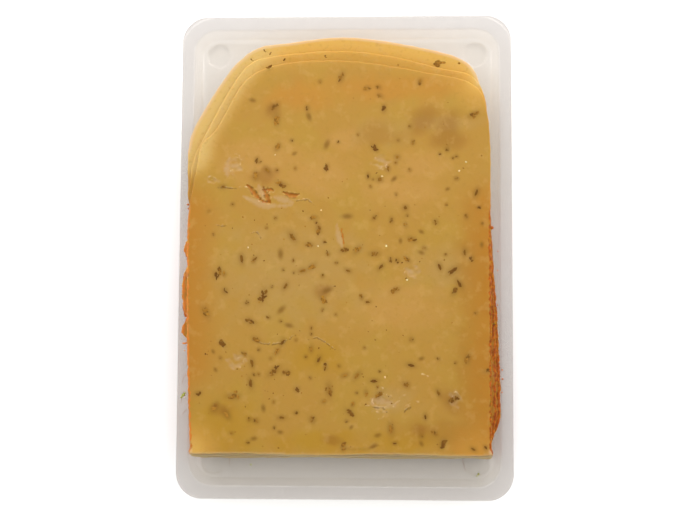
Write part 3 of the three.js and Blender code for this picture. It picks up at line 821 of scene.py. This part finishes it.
# Semi-hard cheese: a waxy, slightly moist cut face that light enters, yellow-brown over the thick stack, and
# orange with pale grains along the rind. Painted light lies over it: a golden glow where a thin edge lets
# light in, a pale highlight at the very edge, a paler near end, highlights on ridges, shade in hollows, a
# partly painted reflection in the eyes and tears, and a lighter rind on the left side.
cheese, tree = new_material("herb_cheese")
where = add(tree, "ShaderNodeTexCoord").outputs["Object"]
broad, smear, flecks, grainy, fine = [
    add(tree, "ShaderNodeTexNoise", {
        "Vector": where, "Scale": 1 / (size * MM), "Detail": 2.0, "Roughness": 0.55}).outputs["Fac"]
    for size in CHEESE_PATTERNS]
mark = {name: add(tree, "ShaderNodeAttribute", attribute_name=name).outputs["Fac"]
        for name in MARKS + ("rind", "rind_reach", "painted_fan_light_reach", "painted_front_light", "painted_edge_glow", "left")}
colour = layered_colour(tree, "#ad8436", [
    (broad, 0.45, 0.65, 0.5, "#ac8933"),
    (mark["peach"], 0.0, 1.0, 0.9, "#b58a43"),
    (mark["grey"], 0.0, 1.0, 0.6, "#ad8b4c"),
    (mark["yellow"], 0.0, 1.0, 0.65, "#aa8018"),
    (mark["orange"], 0.0, 1.0, 0.5, "#b97e29"),
    (mark["amber"], 0.0, 1.0, 0.6, "#9f7222"),
    (mark["brown"], 0.0, 1.0, 0.45, "#87520f"),
    # Painted glow: golden towards the fanned edges, where light comes in through the thin cheese
    (mark["painted_fan_light_reach"], 15.0, 5.0, 0.9, "#bf923f"),
    (mark["painted_fan_light_reach"], 8.0, 2.0, 0.9, "#cba14e"),
    # Painted light: pale glow along fanned edges and the near edge
    (mark["painted_edge_glow"], 0.0, 1.0, 0.75, "#caad6c"),
    (mark["rind_reach"], 16.0, 0.0, 0.7, "#ad7219"),
    (smear, 0.52, 0.72, 0.25, "#c39c58"),
    (flecks, 0.54, 0.72, 0.22, "#9e7a2d"),
    # Pinkish eyes and lips, partly painted reflection
    (mark["pink_and_reflection"], 0.0, 1.0, 0.6, "#b9996f"),
    (mark["stain"], 0.0, 1.0, 0.8, "#7d5611"),
    (mark["pit"], 0.0, 1.0, 0.9, "#b06914"),
    # Painted shade in grooves and at pit edges
    (mark["painted_hollow_shade"], 0.0, 1.0, 0.8, "#6b4e14"),
    # Painted highlight on ridges, round pits and on the cheese beside grooves
    (mark["painted_highlight"], 0.0, 1.0, 0.85, "#d8ba8b"),
    # Painted highlight: pale at the very fanned edge
    (mark["painted_fan_light_reach"], 1.6, 0.4, 0.65, "#cfb28d"),
    # Painted light: pale near-facing sides and near ends of the lower slices
    (mark["painted_front_light"], 0.0, 1.0, 0.95, "#bcab85"),
])
peel = layered_colour(tree, "#8e4200", [
    (grainy, 0.4, 0.66, 1.0, "#b65f06"),
    # Painted light: the rind on the left side is painted lighter, for the light that falls on that side
    (mark["left"], 0.0, 1.0, 0.75, "#cf8030"),
    (fine, 0.62, 0.78, 0.3, "#e4a85a"),
])
skin = add(tree, "ShaderNodeMapRange", {"Value": mark["rind"], "From Min": 0.35, "From Max": 0.75})
colour = add(tree, "ShaderNodeMix", {"Factor": skin.outputs["Result"], 6: colour, 7: peel},
             data_type="RGBA").outputs[2]
uneven = add(tree, "ShaderNodeMath", {0: fine, 1: 0.25, 2: smear}, operation="MULTIPLY_ADD").outputs[0]
bump = add(tree, "ShaderNodeBump", {"Height": uneven, "Strength": 0.35, "Distance": 0.25 * MM}).outputs[0]
gloss = add(tree, "ShaderNodeMapRange", {"Value": broad, "To Min": 0.36, "To Max": 0.5}).outputs["Result"]
waxy = add(tree, "ShaderNodeBsdfPrincipled", {
    "Base Color": colour, "Normal": bump, "Roughness": gloss, "IOR": 1.4, "Specular IOR Level": 0.3,
    "Subsurface Weight": 0.7, "Subsurface Radius": (1.0, 0.65, 0.3), "Subsurface Scale": 1.3 * MM})
add(tree, "ShaderNodeOutputMaterial", {"Surface": waxy.outputs[0]})

for number in range(1, SLICES + 1):
    cheese_slice = build_slice(number, cheese)
    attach(cheese_slice, "root")
    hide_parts(f"slice_{number}")

# Herbs
# Dried, chopped herb leaf kneaded into the curd. Where the knife bares a flake it lies flush in the face,
# brown with ragged edges, and stands up by no more than a tenth of a millimetre.
# Place, length and turn of each flake that shows on a lower slice
FAN_HERBS = {
    4: [(-36.7, 76.3, 1.5, 150), (-31.6, 79.9, 1.6, 140), (-29.4, 79.0, 1.5, 30), (36.5, 75.1, 4.4, 172),
        (44.4, 74.5, 1.4, 0), (47.9, 71.4, 1.2, 60)],
    5: [(-23.9, 76.0, 1.7, 60), (-7.6, 77.0, 1.7, 170), (20.1, 73.6, 1.4, 10)],
}
# Specks of herb dust on the top face
FINE_SPECKS = 130
# Millimetres that a flake stands up from the face, and goes down into it
FLAKE_RISE = 0.06
FLAKE_ROOT = 0.16
# Millimetres between the specks and the slice's edge
SPECK_MARGIN = 1.5
# A flake on a lower slice is this much of its length wide
FAN_SLENDERNESS = 0.45
# Millimetres across one vein and one wrinkle of a leaf
VEIN_SIZE = 0.5
WRINKLE_SIZE = 0.35


def leaf_bit(draw, x, y, length, width, turn, tone):
    """One ragged flake: its outline in the plane, anticlockwise, and its tone."""
    sides = 7 if length < 1.2 else 13
    angles = np.arange(sides) * 2 * math.pi / sides
    ragged = 1 + draw.uniform(-0.35, 0.25, sides)
    u = 0.5 * length * np.cos(angles) * ragged
    v = 0.5 * width * np.sin(angles) * ragged
    v += draw.uniform(-0.2, 0.2) * u * u / max(length, 0.5)
    u, v = turned(u, v, turn)
    return np.stack([x + u, y + v], axis=1), tone


def herb_bits(draw, x, y, length, width, turn):
    """A chopped herb: one whole leaf, or ragged bits strewn along a short line."""
    tone = draw.uniform(0, 0.85)
    if length > 1.6 and draw.uniform() < 0.35:
        return [leaf_bit(draw, x, y, length * 0.8, width * 0.9, turn, tone)]
    bits = []
    for _ in range(2 + int(length * 1.3)):
        along = draw.uniform(-0.4, 0.4) * length
        side = draw.normal() * 0.25 * width
        size = draw.uniform(0.35, 0.75) * min(length, 2.9)
        bit_width = size * draw.uniform(0.3, 0.75)
        bit_turn = turn + draw.normal() * 40
        bit_tone = tone + draw.uniform(-0.4, 0.4)
        u, v = turned(along, side, turn)
        bits.append(leaf_bit(draw, x + u, y + v, size, bit_width, bit_turn, bit_tone))
    return bits


def top_herb_bits():
    """Flakes of all herbs that show in the top face, with fine specks between them."""
    draw = np.random.default_rng(77)
    bits = []
    for herb in HERBS:
        if herb[:2] not in SUNKEN_HERBS:
            bits += herb_bits(draw, *herb)
    edge = cad_outline(SLICES)
    margin = edge - SPECK_MARGIN * outward(edge)
    places = draw.uniform((-58, -76), (56, 74), (FINE_SPECKS * 6, 2))
    near = [np.exp(-((places - (x, y)) ** 2).sum(axis=1) / spread ** 2) * weight
            for x, y, spread, weight in HERB_PATCHES]
    kept = (draw.uniform(size=len(places)) < 0.2 + sum(near)) & is_inside(margin, places)
    for x, y in places[kept][:FINE_SPECKS]:
        length = draw.uniform(0.35, 0.8)
        width = length * draw.uniform(0.4, 0.9)
        bits.append(leaf_bit(draw, x, y, length, width, draw.uniform(0, 180), draw.uniform(0, 1)))
    return bits


def flakes_mesh(name, bits, height_at, material):
    """Joins flakes in one mesh. height_at gives the height of the face that they lie in, for each place."""
    points, faces, tones, rises = [], [], [], []
    for outline, tone in bits:
        count = len(outline)
        middle = outline.mean(axis=0)
        shoulder = middle + (outline - middle) * 0.7
        first = len(points)
        for ring, rise in ((outline, -FLAKE_ROOT), (outline, FLAKE_RISE * 0.3), (shoulder, FLAKE_RISE),
                           (middle[None], FLAKE_RISE * 0.8)):
            points += [tuple(p) for p in ring]
            rises += [rise] * len(ring)
        for i in range(count):
            j = (i + 1) % count
            for ring in (first, first + count):
                faces.append((ring + i, ring + j, ring + j + count, ring + i + count))
            faces.append((first + 2 * count + i, first + 2 * count + j, first + 3 * count))
        faces.append(tuple(first + i for i in reversed(range(count))))
        tones += [tone] * (len(points) - first)
    heights = height_at(np.array(points)) + np.array(rises)
    points = [(x, y, z) for (x, y), z in zip(points, heights)]
    made = mesh_object(name, points, faces, material, smooth=False)
    attribute = made.data.attributes.new("tone", "FLOAT", "POINT")
    attribute.data.foreach_set("value", np.array(tones, np.float32))
    return made


# Dried herb leaf: matt, soaked with fat, dark to golden brown from flake to flake, with darker veins
herb_leaf, tree = new_material("dried_herb_leaf")
where = add(tree, "ShaderNodeTexCoord").outputs["Object"]
veins, wrinkles = [
    add(tree, "ShaderNodeTexNoise", {
        "Vector": where, "Scale": 1 / (size * MM), "Detail": 2.0, "Roughness": 0.55}).outputs["Fac"]
    for size in (VEIN_SIZE, WRINKLE_SIZE)]
tone = add(tree, "ShaderNodeAttribute", attribute_name="tone").outputs["Fac"]
leaf = layered_colour(tree, "#6b4205", [(tone, 0.0, 1.0, 1.0, "#a57322"), (veins, 0.5, 0.65, 0.5, "#4c2c00")])
crinkle = add(tree, "ShaderNodeBump", {"Height": wrinkles, "Strength": 0.25, "Distance": 0.1 * MM}).outputs[0]
dried = add(tree, "ShaderNodeBsdfPrincipled", {
    "Base Color": leaf, "Normal": crinkle, "Roughness": 0.7, "Specular IOR Level": 0.2})
add(tree, "ShaderNodeOutputMaterial", {"Surface": dried.outputs[0]})


def top_height(places):
    """Height of the top face at each place."""
    return slice_levels(SLICES)[1] + top_marks(places)[0]


def ride_as_cheese(piece):
    """Puts a piece on the root body."""
    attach(piece, "root")


ride_as_cheese(flakes_mesh("herb_flakes_top", top_herb_bits(), top_height, herb_leaf))
fan_draw = np.random.default_rng(78)
for number, herbs in FAN_HERBS.items():
    level = slice_levels(number)[1]
    bits = []
    for x, y, length, turn in herbs:
        bits += herb_bits(fan_draw, x, y, length, length * FAN_SLENDERNESS, turn)
    ride_as_cheese(flakes_mesh(f"herb_flakes_slice_{number}", bits,
                               lambda places, level=level: np.full(len(places), level), herb_leaf))

# Pale grains
# Tiny pale, glossy grains, under a millimetre across, on the top face: their near-white colour is a painted
# highlight that stands in for small glints.
PALE_GRAINS = [(46.6, 35.0), (14.4, 29.6), (16.0, 2.5), (15.7, -47.5), (-10.1, 2.5), (-9.0, 16.4),
               (-37.0, 2.0), (24.0, -10.5), (44.0, 31.5), (-27.0, 38.0)]
# Millimetres across one milky patch of a grain
GLINT_PATCH = 0.6

# Glint grain: near-white painted highlight, milky, with a small bright gloss
glint_grain, tree = new_material("painted_glint_grain")
where = add(tree, "ShaderNodeTexCoord").outputs["Object"]
mottle = add(tree, "ShaderNodeTexNoise", {
    "Vector": where, "Scale": 1 / (GLINT_PATCH * MM), "Detail": 2.0, "Roughness": 0.55}).outputs["Fac"]
glint_colour = layered_colour(tree, "#f1dcae", [(mottle, 0.4, 0.6, 1.0, "#e0c07c")])
milky = add(tree, "ShaderNodeBsdfPrincipled", {
    "Base Color": glint_colour, "Roughness": 0.2, "IOR": 1.45, "Subsurface Weight": 0.5,
    "Subsurface Scale": 0.5 * MM})
add(tree, "ShaderNodeOutputMaterial", {"Surface": milky.outputs[0]})

grain_draw = np.random.default_rng(79)
bits = [leaf_bit(grain_draw, x, y, grain_draw.uniform(0.6, 1.0), grain_draw.uniform(0.5, 0.7),
                 grain_draw.uniform(0, 180), 0.5) for x, y in PALE_GRAINS]
ride_as_cheese(flakes_mesh("painted_glint_grains", bits, top_height, glint_grain))

# Rind shavings
# Bits of the coloured rind that the knife has peeled off the left edge and that lie on the flange, with a
# few crumbs of it on both sides. Thin, curled, orange to red-brown, with a pale inner side.
# The points of each shaving's middle line, its width and its thickness
SHAVINGS = [
    ([(-60.8, -8.0, 9.9), (-61.1, -12.0, 9.6), (-61.4, -17.0, 9.3), (-61.5, -21.5, 9.2), (-61.3, -24.6, 9.4)],
     2.4, 0.5),
    ([(-60.7, -5.2, 10.0), (-61.3, -6.6, 9.2), (-62.2, -8.2, 8.4), (-62.9, -9.6, 8.0)], 0.5, 0.3),
    ([(-60.9, -25.0, 9.8), (-61.6, -26.8, 8.8), (-62.5, -28.9, 8.2), (-63.2, -30.6, 7.9)], 0.6, 0.3),
    ([(-60.6, -34.4, 9.4), (-61.6, -34.8, 8.8), (-62.7, -34.6, 8.2)], 0.7, 0.3),
    ([(-60.8, 2.2, 10.0), (-61.2, 0.4, 9.6), (-61.1, -1.4, 9.4)], 1.7, 0.5),
]
# Place and size of each crumb
CRUMBS = [
    (56.5, 9.9, 9.9, 1.6), (58.9, 1.0, 8.2, 0.55), (58.7, -6.4, 8.4, 0.5), (58.6, -19.7, 8.8, 0.6),
    (60.3, -44.5, 8.2, 0.7), (60.4, -48.0, 8.4, 0.8), (60.2, -53.0, 8.1, 0.6), (-61.2, 19.2, 9.4, 0.9),
    (-61.0, 17.6, 9.2, 0.7), (-61.7, -37.5, 8.3, 0.5),
]
# A crumb's height as a share of its width, and how many lines and corners its shape has
CRUMB_HEIGHT = 0.8
CRUMB_ROWS = 5
CRUMB_SIDES = 8
# Millimetres across one blotch, pip and wrinkle of the rind
RIND_PATTERNS = (1.4, 0.6, 0.5)


def softened(line, steps):
    """A line of points in space as the given number of steps, with its corners softened."""
    line = np.array(line)
    t = np.linspace(0, len(line) - 1, steps)
    path = np.stack([np.interp(t, range(len(line)), line[:, k]) for k in range(3)], axis=1)
    path[1:-1] = (path[:-2] + 2 * path[1:-1] + path[2:]) / 4
    return path


def closed_tube(rings, count):
    """Faces of a tube of rings of points, with a face over each end."""
    last = (rings - 1) * count
    return ring_faces(rings, count) + [tuple(range(count))[::-1], tuple(last + k for k in range(count))]


def ribbon(line, width, thickness, seed):
    """A thin curled strip along a line of points, with a ragged width that tapers to both ends."""
    draw = np.random.default_rng(seed)
    steps = 6 * (len(line) - 1) + 1
    path = softened(line, steps)
    along = np.gradient(path[:, :2], axis=0)
    along /= np.linalg.norm(along, axis=1)[:, None]
    side = np.stack([along[:, 1], -along[:, 0], np.zeros(steps)], axis=1)
    taper = np.sqrt(np.sin(np.linspace(0.12, math.pi - 0.12, steps)))
    half = 0.5 * width * taper * draw.uniform(0.75, 1.1, steps)
    up = np.array([0, 0, 1.0])
    points = []
    for p, s, h in zip(path, side, half):
        curl = 0.1 * h
        section = [(-h, curl), (-0.3 * h, 0.0), (0.4 * h, 0.05), (h, curl * 1.2)]
        points += [tuple(p + s * across + up * rise) for across, rise in section]
        points += [tuple(p + s * across * 0.96 + up * (rise - thickness)) for across, rise in section[::-1]]
    return points, closed_tube(steps, 8)


def crumb(x, y, z, size, seed):
    """An irregular lump of a few faces."""
    draw = np.random.default_rng(seed)
    points, faces = [], []
    for row in range(1, CRUMB_ROWS):
        polar = math.pi * row / CRUMB_ROWS
        for k in range(CRUMB_SIDES):
            turn = 2 * math.pi * k / CRUMB_SIDES
            r = 0.5 * size * draw.uniform(0.75, 1.15)
            out = r * math.sin(polar)
            points.append((x + out * math.cos(turn), y + out * math.sin(turn),
                           z + CRUMB_HEIGHT * r * math.cos(polar)))
    for row in range(CRUMB_ROWS - 2):
        for k in range(CRUMB_SIDES):
            a = row * CRUMB_SIDES + k
            b = row * CRUMB_SIDES + (k + 1) % CRUMB_SIDES
            faces.append((a, a + CRUMB_SIDES, b + CRUMB_SIDES, b))
    last = (CRUMB_ROWS - 2) * CRUMB_SIDES
    faces.append(tuple(range(CRUMB_SIDES)))
    faces.append(tuple(last + k for k in reversed(range(CRUMB_SIDES))))
    return points, faces


def joined(parts):
    """One list of points and of faces from several."""
    points, faces = [], []
    for more_points, more_faces in parts:
        faces += [tuple(i + len(points) for i in face) for face in more_faces]
        points += more_points
    return points, faces


# Coloured rind: the cheese's own dried outer layer, dyed orange, uneven, with darker and paler grains
rind_peel, tree = new_material("orange_rind")
where = add(tree, "ShaderNodeTexCoord").outputs["Object"]
mottle, pips, rough = [
    add(tree, "ShaderNodeTexNoise", {
        "Vector": where, "Scale": 1 / (size * MM), "Detail": 2.0, "Roughness": 0.55}).outputs["Fac"]
    for size in RIND_PATTERNS]
peel = layered_colour(tree, "#b45a08", [
    (mottle, 0.4, 0.62, 1.0, "#d8842c"),
    (pips, 0.62, 0.74, 0.5, "#f0b468"),
])
ridged = add(tree, "ShaderNodeBump", {"Height": rough, "Strength": 0.5, "Distance": 0.2 * MM}).outputs[0]
tough = add(tree, "ShaderNodeBsdfPrincipled", {
    "Base Color": peel, "Normal": ridged, "Roughness": 0.45, "Specular IOR Level": 0.3,
    "Subsurface Weight": 0.25, "Subsurface Radius": (1.0, 0.4, 0.1), "Subsurface Scale": 1.0 * MM})
add(tree, "ShaderNodeOutputMaterial", {"Surface": tough.outputs[0]})

parts = [ribbon(line, width, thickness, 800 + i) for i, (line, width, thickness) in enumerate(SHAVINGS)]
parts += [crumb(x, y, z, size, 830 + i) for i, (x, y, z, size) in enumerate(CRUMBS)]
ride_as_cheese(mesh_object("rind_shavings", *joined(parts), rind_peel))

# Green sprig and fine fibres
# A scrap of fresh green herb caught at the left edge, hair-thin stalks beside it, and crumbs and stalks
# that have dropped on the tray's floor.
FIBRES = [
    [(-60.8, -46.4, 9.6), (-62.0, -48.2, 8.6), (-62.6, -50.2, 8.0)],
    [(-60.4, -60.2, 9.0), (-61.5, -61.0, 8.4), (-62.4, -62.2, 7.9)],
    [(-61.6, -53.0, 8.4), (-62.6, -55.6, 8.2), (-62.9, -57.8, 7.9)],
    [(-44.4, -77.9, 1.6), (-44.7, -79.6, 1.45), (-44.5, -81.6, 1.45)],
    [(45.3, -77.6, 1.6), (45.5, -80.0, 1.45), (46.5, -82.9, 1.45)],
]
FIBRE_RADIUS = 0.09
FIBRE_SIDES = 6
FIBRE_STEPS = 9
# Place and size of each bit
GREEN_BITS = [(-62.0, -54.6, 8.4, 1.3), (-62.6, -55.4, 8.2, 1.0), (-61.4, -53.9, 8.6, 0.9)]
DROPPED_BITS = [(51.4, -84.2, 1.6, 0.9), (50.8, -84.9, 1.5, 0.6), (-36.3, -81.2, 1.5, 0.7)]
# Millimetres across one blotch of a stalk and of the green leaf
BARK_PATCH = 0.8
LEAF_PATCH = 0.7


def fibre(line):
    """A thin round stalk along a line of points."""
    path = softened(line, FIBRE_STEPS)
    along = np.gradient(path, axis=0)
    along /= np.linalg.norm(along, axis=1)[:, None]
    side = np.stack([along[:, 1], -along[:, 0], np.zeros(FIBRE_STEPS)], axis=1)
    side /= np.linalg.norm(side, axis=1)[:, None]
    up = np.cross(side, along)
    points = []
    for p, s, u, share in zip(path, side, up, np.linspace(0, 1, FIBRE_STEPS)):
        radius = FIBRE_RADIUS * (1 - 0.5 * share)
        for k in range(FIBRE_SIDES):
            turn = 2 * math.pi * k / FIBRE_SIDES
            points.append(tuple(p + radius * (s * math.cos(turn) + u * math.sin(turn))))
    return points, closed_tube(FIBRE_STEPS, FIBRE_SIDES)


def crumbs(places, seed):
    """One mesh of several crumbs."""
    return joined([crumb(x, y, z, size, seed + i) for i, (x, y, z, size) in enumerate(places)])


# Dried stalk: thin, matt, red-brown
stalk, tree = new_material("dried_herb_stalk")
where = add(tree, "ShaderNodeTexCoord").outputs["Object"]
mottle = add(tree, "ShaderNodeTexNoise", {
    "Vector": where, "Scale": 1 / (BARK_PATCH * MM), "Detail": 2.0, "Roughness": 0.55}).outputs["Fac"]
bark = layered_colour(tree, "#8a5a3c", [(mottle, 0.4, 0.6, 1.0, "#a98468")])
matt = add(tree, "ShaderNodeBsdfPrincipled", {"Base Color": bark, "Roughness": 0.6})
add(tree, "ShaderNodeOutputMaterial", {"Surface": matt.outputs[0]})
ride_as_cheese(mesh_object("herb_stalks", *joined([fibre(line) for line in FIBRES]), stalk))

# Fresh herb scrap: soft yellow-green leaf that light shines into
green_leaf, tree = new_material("green_herb_scrap")
where = add(tree, "ShaderNodeTexCoord").outputs["Object"]
mottle = add(tree, "ShaderNodeTexNoise", {
    "Vector": where, "Scale": 1 / (LEAF_PATCH * MM), "Detail": 2.0, "Roughness": 0.55}).outputs["Fac"]
green = layered_colour(tree, "#8f9a2c", [(mottle, 0.4, 0.6, 1.0, "#c0c75e")])
soft = add(tree, "ShaderNodeBsdfPrincipled", {
    "Base Color": green, "Roughness": 0.5, "Subsurface Weight": 0.4, "Subsurface Scale": 0.5 * MM})
add(tree, "ShaderNodeOutputMaterial", {"Surface": soft.outputs[0]})
ride_as_cheese(mesh_object("green_scrap", *crumbs(GREEN_BITS, 860), green_leaf))
ride_as_cheese(mesh_object("dropped_bits", *crumbs(DROPPED_BITS, 870), green_leaf))
